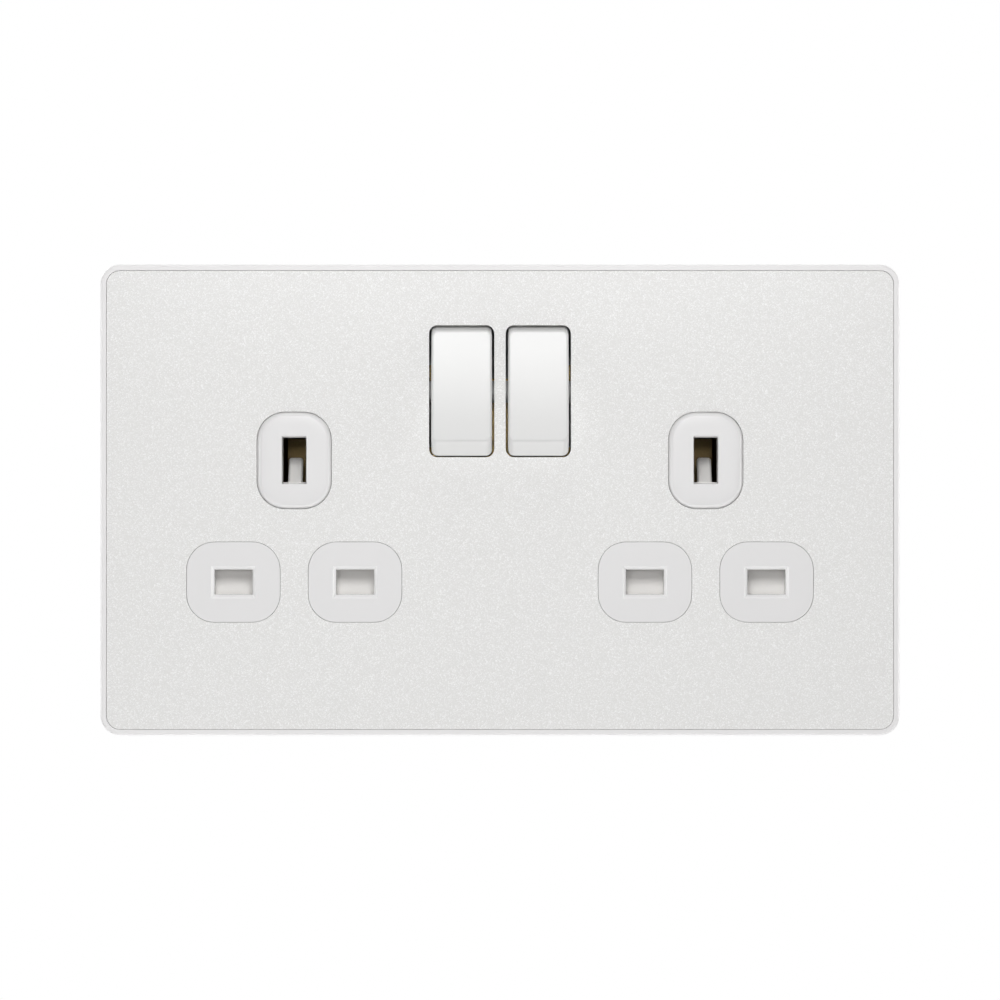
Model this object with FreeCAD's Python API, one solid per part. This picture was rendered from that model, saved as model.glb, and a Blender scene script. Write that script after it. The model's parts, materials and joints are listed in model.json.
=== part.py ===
"""Twin switched wall socket for three-pin rectangular plugs, with a screwless clip-on plate.

The face looks along -Y, +Z is up and +X is to the right of someone facing the plate. The origin is
the middle of the plate on the wall plane, so the wall is y = 0 and the moulded back goes into the
wall box along +Y. All sizes are in millimetres. The switches are off: the top of each rocker is in.
"""
import math
import os

import FreeCAD
import Part

Vec = FreeCAD.Vector
X_AXIS = Vec(1, 0, 0)
Y_AXIS = Vec(0, 1, 0)
Z_AXIS = Vec(0, 0, 1)

# Plate: a moulded tray that clips on, with a thin decorative panel laid in its front
plate_side_overlap = 12.7
plate_end_overlap = 8.5
plate_projection = 8.0
plate_corner = 3.6
plate_edge_bevel = 0.3
rim_width = 1.05
seam = 0.06
panel_thickness = 1.5
tray_floor = 1.5
tray_wall = 2.0
tray_rib = 1.0
opening_gap = 0.3
pry_notch_width = 9.0
pry_notch_height = 1.2
pry_notch_depth = 2.4

# Pins of the plug, as the national standard gives them
pin_spacing = 22.23
earth_rise = 22.23
live_pin_width = 6.35
live_pin_thickness = 3.975
earth_pin_width = 3.975
earth_pin_height = 7.925
pin_gap = 0.2

# Places of the two outlets and the raised pads round their slots
outlet_clearance = 2.31
live_row_drop = 15.0
live_pad_width = 17.07
live_pad_height = 14.64
earth_pad_width = 13.6
earth_pad_height = 17.65
pad_corner = 5.1
earth_pad_bevel = 0.6
earth_pad_ease = 0.2
earth_pad_proud = 0.3
live_slot_width = 6.95
live_slot_height = 4.57
earth_slot_width = 4.3
earth_slot_height = 8.4
slot_bevel = 0.62
slot_bevel_depth = 0.6
earth_slot_bevel = 0.12
earth_slot_top_bevel = 0.35

# Socket module: front moulding, steel strap and rear moulding, screwed together from behind
module_top_margin = 1.08
module_bottom_margin = 6.6
module_corner = 3.0
module_wall = 1.6
module_floor = 1.5
flange_lip = 1.25
flange_overhang = 3.0
flange_notch_height = 13.0
front_plate = 1.6
cover_gap = 0.1
part_gap = 0.15
rib = 0.9
post_width = 2.4

# Steel strap that carries the module on the wall box
strap_thickness = 1.2
strap_gap = 0.2
strap_end_gap = 3.7
fixing_clearance = 4.8
fixing_slot_width = 4.0
fixing_slot_length = 6.0
catch_spacing = 84.0
catch_width = 12.0
catch_height = 3.6
catch_window_width = 8.0
catch_window_height = 1.6
catch_bump = 0.55

# Rocker switches
window_bar = 2.08
rocker_rise = 19.87
window_width = 11.92
window_height = 24.1
window_corner = 1.5
window_margin = 1.5
rocker_side_gap = 0.43
rocker_end_gap = 0.12
rocker_taper = 1.73
rocker_height = 6.75
rocker_root = 0.8
rocker_crown = 0.25
rocker_corner = 1.15
rocker_edge_bevel = 0.3
rocker_wall = 1.2
rocker_throw = 16.0
pivot_depth = 5.0
trunnion_radius = 2.0
trunnion_end_gap = 0.14
bearing_gap = 0.05
bearing_wall = 1.0
bearing_lip = 2.6
bearing_mouth = 3.4

# Snap action: a sprung plunger in the rocker presses on a see-saw contact
plunger_radius = 1.5
plunger_length = 7.4
plunger_reach = 6.8
plunger_nose = 0.9
plunger_gap = 0.06
stem_wall = 1.1
stem_length = 4.0
spring_gap = 0.1
spring_wire = 0.36
spring_sides = 6
plunger_spring_length = 3.8
plunger_spring_turns = 4
seesaw_gap = 0.2
seesaw_throw = 22.0
seesaw_width = 5.0
seesaw_thickness = 1.0
seesaw_groove = 0.4
seesaw_groove_half = 0.5
seesaw_upper = 9.4
seesaw_lower = 6.0
ridge_half = 0.8
ridge_height = 1.4
ridge_gap = 0.05
ridge_ear_height = 2.4
ridge_ear = 0.8
contact_reach = 7.6
contact_tip_width = 3.2
contact_tip_length = 2.6
contact_tip_height = 0.5
contact_dome = 3.0
contact_gap = 0.05

# Sheet brass: bars, and the spring clips that grip the pins
bar_thickness = 1.0
bar_width = 5.2
clip_thickness = 0.7
clip_grip = 3.5
clip_mouth = 5.4
clip_flare = 3.6
clip_front = 0.3
line_clip_back = 12.0
neutral_lane_drop = 8.15
neutral_lane_width = 3.5
contact_lane_rise = 2.63
contact_turn_rise = 11.33
contact_tail = 2.2
block_lap = 2.0

# Cable terminals: drilled brass blocks with clamping screws
terminal_pitch = 14.5
terminal_side = 3.1
terminal_height = 10.6
terminal_depth = 9.0
terminal_drop = 5.0
cable_way = 4.4
cable_hole_spacing = 6.4
terminal_screw_radius = 2.0
terminal_screw_gap = 0.05
terminal_screw_back = 0.1
terminal_screw_proud = 1.8
screw_slot_width = 0.8
screw_slot_depth = 0.8
access_gap = 0.25
cable_entry_depth = 6.0

# Screws that hold the module together
screw_inset = 3.3
screw_radius = 1.35
screw_pilot_gap = 0.02
screw_head_radius = 2.4
screw_head_height = 1.6
screw_head_sunk = 0.3
screw_tip_cover = 0.6
screw_hole_gap = 0.25
boss_wall = 1.5

# Safety shutters: one sliding blade for each outlet, pushed down by the earth pin
shutter_thickness = 2.0
shutter_lap = 0.3
shutter_side_lap = 0.6
shutter_gap = 0.15
shutter_back_gap = 0.2
shutter_neck = 5.8
tongue_width = 2.65
tongue_thickness = 1.6
tongue_chamfer = 0.35
shutter_spring_radius = 1.05
shutter_spring_length = 9.0
shutter_spring_turns = 5
shutter_spring_notch = 3.0
spring_shelf = 1.2

# Across the plate, from the inside out: clips, terminals, outlets, module, fixing screws, plate
clip_width = live_pin_width + 2 * pin_gap
earth_clip_height = earth_pin_height + 2 * pin_gap
inner_clip_offset = terminal_pitch + cable_hole_spacing / 2 + terminal_side + outlet_clearance
outlet_offset = inner_clip_offset + clip_width / 2 + pin_spacing / 2
flange_width = 2 * (outlet_offset + pin_spacing / 2 + live_pad_width / 2 + flange_lip)
module_width = flange_width - 2 * flange_overhang
fixing_spacing = module_width + 2 * fixing_clearance
plate_width = fixing_spacing + 2 * plate_side_overlap
strap_half_width = plate_width / 2 - tray_wall - strap_end_gap
rocker_offset = (window_width + window_bar) / 2
trunnion_bite = window_bar / 2 - trunnion_end_gap

# Up the plate, from the rows of slots and the rockers outwards
live_row_z = -live_row_drop
earth_row_z = live_row_z + earth_rise
neutral_lane_z = live_row_z - neutral_lane_drop
terminal_bottom = live_row_z - terminal_drop
contact_lane_z = rocker_rise + contact_lane_rise
contact_turn_z = rocker_rise + contact_turn_rise
module_top = rocker_rise + window_height / 2 + window_margin + module_top_margin
module_bottom = neutral_lane_z - neutral_lane_width / 2 - module_bottom_margin
plate_height = 2 * (module_top + plate_end_overlap)

# Levels from front to back
face_y = -plate_projection
panel_back_y = face_y + panel_thickness
tray_back_y = panel_back_y + tray_floor
module_front_y = tray_back_y + cover_gap
front_plate_back_y = module_front_y + front_plate
strap_front_y = -strap_thickness
line_bar_y = line_clip_back - bar_thickness
shutter_front_y = front_plate_back_y + shutter_gap
shutter_back_y = shutter_front_y + shutter_thickness
cradle_front_y = shutter_back_y + shutter_back_gap
pivot_y = face_y + pivot_depth
seesaw_y = pivot_y + plunger_reach + seesaw_gap + seesaw_thickness - seesaw_groove
feed_bar_y = seesaw_y + ridge_height
terminal_front_y = feed_bar_y + bar_thickness
terminal_back_y = terminal_front_y + terminal_depth
deep_bar_y = terminal_back_y
floor_y = deep_bar_y + bar_thickness
module_depth = floor_y + module_floor
catch_window_y = strap_front_y - catch_height + catch_window_height
through_y = face_y - plate_projection
beyond_y = module_depth + plate_projection

# Places of the outlets and rockers, and the clear inside of the module
outlets = {"left": -outlet_offset, "right": outlet_offset}
rockers = {"left": -rocker_offset, "right": rocker_offset}
inner_half_width = module_width / 2 - module_wall
inner_top = module_top - module_wall
inner_bottom = module_bottom + module_wall
module_mid_z = (module_top + module_bottom) / 2
module_height = module_top - module_bottom

# Rocker, before it is tilted
rocker_width = window_width - 2 * rocker_side_gap
rocker_root_half = window_height / 2 - rocker_end_gap
bearing_radius = trunnion_radius + bearing_gap
trunnion_end = window_width / 2 + trunnion_bite
bore_radius = plunger_radius + plunger_gap
bore_end = plunger_reach - plunger_length - plunger_spring_length

# Where the moving contact meets the fixed one when the switch is on
contact_turn = math.radians(seesaw_throw / 2)
dome_rise = seesaw_groove + contact_tip_height - contact_dome
fixed_tip_y = (
    seesaw_y
    + contact_reach * math.sin(contact_turn)
    + dome_rise * math.cos(contact_turn)
    + contact_dome
    + contact_gap
)
fixed_tip_z = (
    rocker_rise + contact_reach * math.cos(contact_turn) - dome_rise * math.sin(contact_turn)
)
contact_plate_y = fixed_tip_y + contact_tip_height

# Motion of a shutter: far enough to bare the slot for the pin, worked by a ramp of the same rise
shutter_travel = live_slot_height / 2 + shutter_lap + live_pin_thickness / 2
shutter_top_z = live_row_z + live_slot_height / 2 + shutter_lap
shutter_bottom_z = live_row_z - live_slot_height / 2 - shutter_lap
shutter_half_width = pin_spacing / 2 + live_slot_width / 2 + shutter_side_lap
tongue_foot_z = earth_row_z - earth_pin_height / 2
tongue_top_z = tongue_foot_z + shutter_travel
tongue_tip_y = shutter_front_y + shutter_travel
tongue_back_y = tongue_tip_y + tongue_thickness / 2
earth_clip_front_y = tongue_back_y + shutter_back_gap + clip_thickness
shutter_spring_top = shutter_bottom_z + shutter_spring_notch
shutter_spring_seat = shutter_spring_top - shutter_spring_length
shutter_spring_y = (shutter_front_y + shutter_back_y) / 2

# Terminals, seen from the front: earth, line, neutral
terminals = {"earth": -terminal_pitch, "line": 0.0, "neutral": terminal_pitch}
terminal_top = terminal_bottom + terminal_height
terminal_mid_z = (terminal_bottom + terminal_top) / 2
cable_hole_y = (terminal_front_y + terminal_back_y) / 2
single_way = [0.0]
twin_ways = [-cable_hole_spacing / 2, cable_hole_spacing / 2]
cable_ways = {"earth": twin_ways, "line": single_way, "neutral": single_way}

# Screws of the module, in two opposite corners
screw_x = module_width / 2 - screw_inset
screw_places = [(-screw_x, module_top - screw_inset), (screw_x, module_bottom + screw_inset)]
screw_seat_y = module_depth - screw_head_height - screw_head_sunk
screw_boss_half = screw_radius + screw_hole_gap + boss_wall


def slab(x0, x1, y0, y1, z0, z1):
    """A plain block between two corners."""
    return Part.makeBox(x1 - x0, y1 - y0, z1 - z0, Vec(x0, y0, z0))


def rounded_outline(x, z, width, height, radius, y):
    """A rectangle with round corners, centred on (x, z), in the plane y."""
    w, h, r = width / 2, height / 2, radius
    corners = [(w - r, h - r, 0), (-w + r, h - r, 90), (-w + r, -h + r, 180), (w - r, -h + r, 270)]
    edges = []
    points = []
    for cx, cz, start in corners:
        arc = [
            Vec(
                x + cx + r * math.cos(math.radians(start + turn)),
                y,
                z + cz + r * math.sin(math.radians(start + turn)),
            )
            for turn in (0, 45, 90)
        ]
        points.append(arc)
    for this, following in zip(points, points[1:] + points[:1]):
        edges.append(Part.Arc(*this).toShape())
        edges.append(Part.LineSegment(this[2], following[0]).toShape())
    return Part.Wire(edges)


def rounded_slab(x, z, width, height, radius, y0, y1):
    """A round-cornered plate from y0 back to y1."""
    return Part.Face(rounded_outline(x, z, width, height, radius, y0)).extrude(Vec(0, y1 - y0, 0))


def rod(x, z, radius, y0, y1):
    """A round bar along Y."""
    return Part.makeCylinder(radius, y1 - y0, Vec(x, y0, z), Y_AXIS)


def cross_rod(x0, x1, y, z, radius):
    """A round bar along X."""
    return Part.makeCylinder(radius, x1 - x0, Vec(x0, y, z), X_AXIS)


def prism_x(points, x0, x1):
    """A straight-sided profile of (y, z) points, run along X."""
    corners = [Vec(x0, y, z) for y, z in points]
    face = Part.Face(Part.makePolygon(corners + corners[:1]))
    return face.extrude(Vec(x1 - x0, 0, 0))


def joined(shapes):
    """Several shapes fused into one clean solid."""
    first, *others = shapes
    return first.fuse(others).removeSplitter() if others else first


def bevelled_front(solid, size):
    """The solid with the rim of its frontmost face bevelled."""
    return solid.makeChamfer(size, front_rim(solid))


def front_rim(solid):
    """The outer edges of the frontmost face."""
    return min(solid.Faces, key=lambda face: face.CenterOfMass.y).OuterWire.Edges


def tapered_slot(x, z, size, mouth, front_y):
    """A rectangular slot back through the front plate, its first part flared to a wider mouth.

    size is (width, height); mouth is how much further the front edge reaches (sideways, down, up).
    """
    width, height = size
    side, down, up = mouth
    flare_y = front_y + slot_bevel_depth

    def rectangle(y, grow):
        left = x - width / 2 - side * grow
        right = x + width / 2 + side * grow
        low = z - height / 2 - down * grow
        high = z + height / 2 + up * grow
        ring = [Vec(left, y, low), Vec(right, y, low), Vec(right, y, high), Vec(left, y, high)]
        return Part.makePolygon(ring + ring[:1])

    flare = Part.makeLoft([rectangle(front_y, 1), rectangle(flare_y, 0)], True)
    back_y = front_plate_back_y + part_gap
    shaft = slab(x - width / 2, x + width / 2, flare_y, back_y, z - height / 2, z + height / 2)
    return flare.fuse(shaft)


def pads(grow, y0, live_front, earth_front):
    """The six round-cornered pads, or the holes that they pass through when grown."""
    shapes = []
    for x in outlets.values():
        for side in (-1, 1):
            shapes.append(
                rounded_slab(
                    x + side * pin_spacing / 2,
                    live_row_z,
                    live_pad_width + 2 * grow,
                    live_pad_height + 2 * grow,
                    pad_corner + grow,
                    live_front,
                    y0,
                )
            )
        shapes.append(
            rounded_slab(
                x,
                earth_row_z,
                earth_pad_width + 2 * grow,
                earth_pad_height + 2 * grow,
                pad_corner + grow,
                earth_front,
                y0,
            )
        )
    return shapes


def window_cuts(y0, y1):
    """The two openings that the rockers stand in, square behind the panel."""
    half = window_width / 2
    low = rocker_rise - window_height / 2
    high = rocker_rise + window_height / 2
    return [slab(x - half, x + half, y0, y1, low, high) for x in rockers.values()]


def rocker_platform(grow, y0, y1):
    """The raised block round both rockers, which fills one opening of the tray."""
    half_width = rocker_offset + window_width / 2 + window_margin + grow
    half_height = window_height / 2 + window_margin + grow
    low = rocker_rise - half_height
    return slab(-half_width, half_width, y0, y1, low, rocker_rise + half_height)


def face_panel():
    """Thin decorative sheet, laid in the tray, open round the pads and rockers."""
    inset = rim_width + seam
    sheet = rounded_slab(
        0,
        0,
        plate_width - 2 * inset,
        plate_height - 2 * inset,
        plate_corner - inset,
        face_y,
        panel_back_y,
    )
    holes = pads(seam, beyond_y, through_y, through_y)
    for x in rockers.values():
        holes.append(
            rounded_slab(
                x, rocker_rise, window_width, window_height, window_corner, through_y, beyond_y
            )
        )
    return sheet.cut(holes)


def cover_tray():
    """Clip-on tray: a rim round the panel, a floor behind it and bumps inside that snap on."""
    outer = rounded_slab(0, 0, plate_width, plate_height, plate_corner, face_y, 0)
    tray = bevelled_front(outer, plate_edge_bevel)
    inner_x = plate_width / 2 - tray_wall
    inner_z = plate_height / 2 - tray_wall
    recess = rounded_slab(
        0,
        0,
        plate_width - 2 * rim_width,
        plate_height - 2 * rim_width,
        plate_corner - rim_width,
        through_y,
        panel_back_y,
    )
    hollow = slab(-inner_x, inner_x, tray_back_y, beyond_y, -inner_z, inner_z)
    tray = tray.cut([recess, hollow])
    tray = joined([tray] + tray_ribs(inner_x, inner_z) + catch_bumps(inner_z))
    holes = [
        slab(box.XMin, box.XMax, through_y, beyond_y, box.ZMin, box.ZMax)
        for box in (pad.BoundBox for pad in pads(opening_gap, beyond_y, through_y, through_y))
    ]
    holes.append(rocker_platform(opening_gap, through_y, beyond_y))
    notch_half = pry_notch_width / 2
    notch_top = pry_notch_height - plate_height / 2
    holes.append(slab(-notch_half, notch_half, -pry_notch_depth, beyond_y, -plate_height, notch_top))
    return tray.cut(holes)


def tray_ribs(inner_x, inner_z):
    """Stiffening ribs in the corner between the tray's floor and walls."""
    ribs = []
    strap_end = strap_half_width + strap_gap
    for side in (-1, 1):
        low, high = sorted((side * strap_end, side * inner_x))
        for z in (-plate_height / 4, plate_height / 4):
            ribs.append(slab(low, high, tray_back_y, -opening_gap, z - tray_rib / 2, z + tray_rib / 2))
    back = strap_front_y - part_gap
    for x in (-catch_spacing / 4, catch_spacing / 4):
        for low, high in ((-inner_z, module_bottom - part_gap), (module_top + part_gap, inner_z)):
            ribs.append(slab(x - tray_rib / 2, x + tray_rib / 2, tray_back_y, back, low, high))
    return ribs


def catch_bumps(inner_z):
    """Bumps inside the tray's long walls, one for each window of the strap."""
    bumps = []
    half = catch_window_width / 2 - part_gap
    front = catch_window_y - catch_window_height / 2 + part_gap
    back = catch_window_y + catch_window_height / 2 - part_gap
    for x in (-catch_spacing / 2, catch_spacing / 2):
        for side in (-1, 1):
            root = side * inner_z
            tip = side * (inner_z - strap_gap - catch_bump)
            bumps.append(
                prism_x(
                    [(front, root), (back, root), (catch_window_y, tip), (front, tip)],
                    x - half,
                    x + half,
                )
            )
    return bumps


def mounting_strap():
    """Pressed steel frame: fixing slots at its ends and four upstands that hold the tray."""
    half_height = plate_height / 2 - tray_wall - strap_gap
    strap = slab(
        -strap_half_width, strap_half_width, strap_front_y, 0, -half_height, half_height
    )
    opening = module_inside(strap_front_y, 0)
    strap = strap.cut(opening)
    upstands = []
    window_front = catch_window_y - catch_window_height / 2
    window_back = catch_window_y + catch_window_height / 2
    window_half = catch_window_width / 2
    tab_front = strap_front_y - catch_height
    for x in (-catch_spacing / 2, catch_spacing / 2):
        for side in (-1, 1):
            z0, z1 = sorted((side * half_height, side * (half_height - strap_thickness)))
            tab = slab(x - catch_width / 2, x + catch_width / 2, tab_front, 0, z0, z1)
            window = slab(x - window_half, x + window_half, window_front, window_back, z0, z1)
            upstands.append(tab.cut(window))
    strap = joined([strap] + corner_lugs(strap_front_y, 0) + upstands)
    holes = [
        rod(x, z, screw_radius + screw_hole_gap, through_y, beyond_y) for x, z in screw_places
    ]
    radius = fixing_slot_width / 2
    shift = fixing_slot_length / 2 - radius
    for x in (-fixing_spacing / 2, fixing_spacing / 2):
        ends = [rod(x + side * shift, 0, radius, through_y, beyond_y) for side in (-1, 1)]
        middle = slab(x - shift, x + shift, through_y, beyond_y, -radius, radius)
        holes.append(joined([middle] + ends))
    return strap.cut(holes)


def module_inside(y0, y1):
    """The clear space inside the module's walls."""
    return slab(-inner_half_width, inner_half_width, y0, y1, inner_bottom, inner_top)


def corner_lugs(y0, y1, grow=0):
    """The two square screw bosses that fill corners of the module."""
    half = screw_boss_half + grow
    lugs = []
    for x, z in screw_places:
        x0, x1 = sorted((x - math.copysign(half, x), math.copysign(inner_half_width, x)))
        if z > module_mid_z:
            lugs.append(slab(x0, x1, y0, y1, z - half, inner_top))
        else:
            lugs.append(slab(x0, x1, y0, y1, inner_bottom, z + half))
    return lugs


def front_moulding():
    """Front half of the module: pads, slots, rocker wells, bearings and shutter guides."""
    flange = slab(
        -flange_width / 2,
        flange_width / 2,
        module_front_y,
        front_plate_back_y,
        module_bottom,
        module_top,
    )
    notches = []
    for side in (-1, 1):
        x0, x1 = sorted((side * module_width / 2, side * flange_width))
        half = flange_notch_height / 2
        notches.append(slab(x0, x1, through_y, beyond_y, -half, half))
    flange = flange.cut(notches)
    skirt = module_walls(front_plate_back_y, strap_front_y)
    inside_plate_y = module_front_y + front_plate / 2
    raised = []
    for pad in pads(0, inside_plate_y, face_y, face_y - earth_pad_proud):
        proud = pad.BoundBox.YMin < face_y - earth_pad_proud / 2
        raised.append(
            bevelled_front(bevelled_front(pad, earth_pad_bevel), earth_pad_ease) if proud else pad
        )
    raised.append(rocker_platform(0, panel_back_y + cover_gap, inside_plate_y))
    body = joined(
        [flange, skirt]
        + raised
        + corner_lugs(inside_plate_y, strap_front_y)
        + shutter_guides()
        + bearing_cheeks()
        + hold_down_posts()
    )
    tip_y = module_front_y + screw_tip_cover
    pilots = [rod(x, z, screw_radius + screw_pilot_gap, tip_y, beyond_y) for x, z in screw_places]
    return body.cut(window_cuts(through_y, beyond_y) + pin_slots() + pilots + bearing_seats())


def module_walls(y0, y1):
    """The walls round the module."""
    outline = rounded_slab(0, module_mid_z, module_width, module_height, module_corner, y0, y1)
    return outline.cut(module_inside(y0, y1))


def pin_slots():
    """The tapered slots for the pins, through the pads and the front plate."""
    slots = []
    live_mouth = (slot_bevel, slot_bevel, slot_bevel)
    earth_mouth = (earth_slot_bevel, earth_slot_bevel, earth_slot_top_bevel)
    for x in outlets.values():
        for side in (-1, 1):
            slots.append(
                tapered_slot(
                    x + side * pin_spacing / 2,
                    live_row_z,
                    (live_slot_width, live_slot_height),
                    live_mouth,
                    face_y,
                )
            )
        slots.append(
            tapered_slot(
                x,
                earth_row_z,
                (earth_slot_width, earth_slot_height),
                earth_mouth,
                face_y - earth_pad_proud,
            )
        )
    return slots


def shutter_guides():
    """Ribs that each shutter slides between, and the shelf that its spring stands on."""
    guides = []
    root_y = module_front_y + front_plate / 2
    low = shutter_spring_seat
    for x in outlets.values():
        for side in (-1, 1):
            start = x + side * (shutter_half_width + shutter_gap)
            x0, x1 = sorted((start, start + side * rib))
            guides.append(slab(x0, x1, root_y, shutter_back_y, low, shutter_top_z))
            start = x + side * (shutter_neck / 2 + shutter_gap)
            x0, x1 = sorted((start, start + side * rib))
            neck_low = shutter_top_z + shutter_gap
            guides.append(slab(x0, x1, root_y, shutter_back_y, neck_low, tongue_foot_z))
        half = shutter_spring_radius + spring_shelf
        shelf_low = shutter_spring_seat - spring_shelf
        guides.append(slab(x - half, x + half, root_y, shutter_back_y, shelf_low, shutter_spring_seat))
    return guides


def bearing_cheeks():
    """Blocks behind the front plate that the rockers' trunnions snap into."""
    root_y = module_front_y + front_plate / 2
    back_y = pivot_y + bearing_lip
    half = bearing_radius + bearing_wall
    near = rocker_offset - window_width / 2
    far = rocker_offset + window_width / 2
    end = rocker_offset + trunnion_end + part_gap + bearing_wall
    spans = [(-end, -far), (-near, near), (far, end)]
    return [
        slab(x0, x1, root_y, back_y, rocker_rise - half, rocker_rise + half) for x0, x1 in spans
    ]


def bearing_seats():
    """Round seats for the trunnions, each with a mouth narrower than the seat."""
    seats = []
    reach = trunnion_end + part_gap
    half = bearing_mouth / 2
    for x in rockers.values():
        seats.append(cross_rod(x - reach, x + reach, pivot_y, rocker_rise, bearing_radius))
        seats.append(
            slab(x - reach, x + reach, pivot_y, beyond_y, rocker_rise - half, rocker_rise + half)
        )
    return seats


def hold_down_posts():
    """Posts that press the terminal blocks and the line contacts into the rear moulding."""
    root_y = module_front_y + front_plate / 2
    half = post_width / 2
    ends = [(x, terminal_mid_z, terminal_front_y) for x in terminals.values()]
    ends[1] = (0, terminal_mid_z, feed_bar_y)
    for name in outlets:
        ends.append((line_lane_x(name), contact_lane_z, line_bar_y))
    return [
        slab(x - half, x + half, root_y, end_y - part_gap, z - half, z + half)
        for x, z, end_y in ends
    ]


def line_lane_x(name):
    """Where the line contact of an outlet runs upwards: over its line clip."""
    return outlets[name] + pin_spacing / 2


def neutral_lane_x(name):
    """Where the neutral clip of an outlet stands."""
    return outlets[name] - pin_spacing / 2


def rear_moulding():
    """Rear half of the module: a tray with a cradle for every clip, bar and terminal block."""
    body = joined(
        [module_walls(0, module_depth), module_floor_plate(), locating_lip()]
        + corner_lugs(0, floor_y + module_floor / 2)
    )
    blocks, hollows = cradles()
    body = joined([body] + blocks)
    seat_holes = [
        rod(x, z, screw_head_radius + access_gap, screw_seat_y, beyond_y) for x, z in screw_places
    ]
    shafts = [
        rod(x, z, screw_radius + screw_hole_gap, through_y, beyond_y) for x, z in screw_places
    ]
    return body.cut(hollows + bar_lanes() + seat_holes + shafts + cable_openings())


def module_floor_plate():
    """The rear wall of the module."""
    return rounded_slab(
        0, module_mid_z, module_width, module_height, module_corner, floor_y, module_depth
    )


def locating_lip():
    """Low rim that stands in the strap's opening, clear of its lugs."""
    outer_x = inner_half_width - part_gap
    low = inner_bottom + part_gap
    high = inner_top - part_gap
    front = strap_front_y + part_gap
    outer = slab(-outer_x, outer_x, front, rib, low, high)
    inner = slab(-outer_x + rib, outer_x - rib, front, rib, low + rib, high - rib)
    foot = module_inside(0, rib).cut(inner)
    return outer.cut([inner] + corner_lugs(front, 0, part_gap)).fuse(foot)


def cradles():
    """Walled cells as blocks to add and hollows to cut: (blocks, hollows)."""
    cells = []
    live_half = (clip_width / 2, clip_mouth / 2 + clip_thickness)
    for name, x in outlets.items():
        cells.append((line_lane_x(name), live_row_z, live_half, cradle_front_y, line_clip_back))
        cells.append((neutral_lane_x(name), live_row_z, live_half, cradle_front_y, deep_bar_y))
        earth_half = (live_half[1], earth_clip_height / 2)
        cells.append((x, earth_row_z, earth_half, tongue_back_y + part_gap, deep_bar_y))
    for name, x in terminals.items():
        front = terminal_front_y + bar_thickness
        block_half = (terminal_half_width(name), terminal_height / 2)
        cells.append((x, terminal_mid_z, block_half, front, terminal_back_y))
    blocks = []
    hollows = []
    inside_floor = floor_y + module_floor / 2
    for x, z, (half_x, half_z), front, seat in cells:
        for grow, back, found in (
            (part_gap + rib, inside_floor, blocks),
            (part_gap, seat, hollows),
        ):
            wide = half_x + grow
            tall = half_z + grow
            found.append(slab(x - wide, x + wide, front, back, z - tall, z + tall))
    return blocks + bar_props(), hollows


def bar_props():
    """Ribs and pillars that the bars lie on."""
    inside_floor = floor_y + module_floor / 2
    half = bar_width / 2
    props = []
    for name, x in outlets.items():
        lane_x = line_lane_x(name)
        switch_x = rockers[name]
        props.append(
            slab(
                lane_x - rib / 2,
                lane_x + rib / 2,
                line_clip_back,
                inside_floor,
                live_row_z,
                contact_lane_z,
            )
        )
        x0, x1 = sorted((lane_x, switch_x))
        z0 = contact_lane_z - rib / 2
        props.append(slab(x0, x1, line_clip_back, inside_floor, z0, z0 + rib))
        z0 = contact_turn_z - half
        x0, x1 = switch_x - half, switch_x + half
        props.append(slab(x0, x1, line_clip_back, inside_floor, z0, contact_turn_z))
        ledge = rocker_rise - half
        props.append(
            slab(
                switch_x - half,
                switch_x + half,
                feed_bar_y + bar_thickness,
                inside_floor,
                ledge,
                contact_lane_z - half - part_gap,
            )
        )
    props.append(slab(-half, half, feed_bar_y + bar_thickness, inside_floor, -post_width, post_width))
    return props


def bar_lanes():
    """Room for the bars through the walls of the cradles, open towards the front."""
    lanes = []
    for bar, back in (
        (neutral_lane_boxes(), floor_y),
        (earth_lane_boxes(), floor_y),
        (contact_lane_boxes("left"), line_clip_back),
        (contact_lane_boxes("right"), line_clip_back),
    ):
        for x0, x1, z0, z1 in bar:
            lanes.append(
                slab(
                    x0 - part_gap,
                    x1 + part_gap,
                    cradle_front_y,
                    back,
                    z0 - part_gap,
                    z1 + part_gap,
                )
            )
    return lanes


def cable_openings():
    """Ways in for the cables from below, and for the screwdriver from behind."""
    cuts = []
    entry = (cable_hole_y - cable_entry_depth / 2, cable_hole_y + cable_entry_depth / 2)
    for name, x in terminals.items():
        half = terminal_half_width(name) - rib
        cuts.append(slab(x - half, x + half, *entry, -plate_height, terminal_bottom - rib))
        below = (terminal_bottom - part_gap - 2 * rib, terminal_bottom + part_gap)
        cuts.append(slab(x - half, x + half, *entry, *below))
        tall = terminal_screw_radius + access_gap
        reach = cable_ways[name][-1] + tall
        low = terminal_mid_z - tall
        high = terminal_mid_z + tall
        cuts.append(slab(x - reach, x + reach, terminal_back_y - part_gap, beyond_y, low, high))
    return cuts


def sheet(boxes, y0, y1):
    """A flat pressing made of (x0, x1, z0, z1) rectangles."""
    return joined([slab(x0, x1, y0, y1, z0, z1) for x0, x1, z0, z1 in boxes])


def neutral_lane_boxes():
    """Outline of the neutral bar: a lane under the terminals with three tabs up."""
    half = bar_width / 2
    low = neutral_lane_z - neutral_lane_width / 2
    high = neutral_lane_z + neutral_lane_width / 2
    ends = [neutral_lane_x(name) for name in outlets]
    boxes = [(ends[0] - half, ends[1] + half, low, high)]
    for x in ends:
        boxes.append((x - half, x + half, low, live_row_z + half))
    x = terminals["neutral"]
    boxes.append((x - half, x + half, low, terminal_bottom + block_lap))
    return boxes


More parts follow.
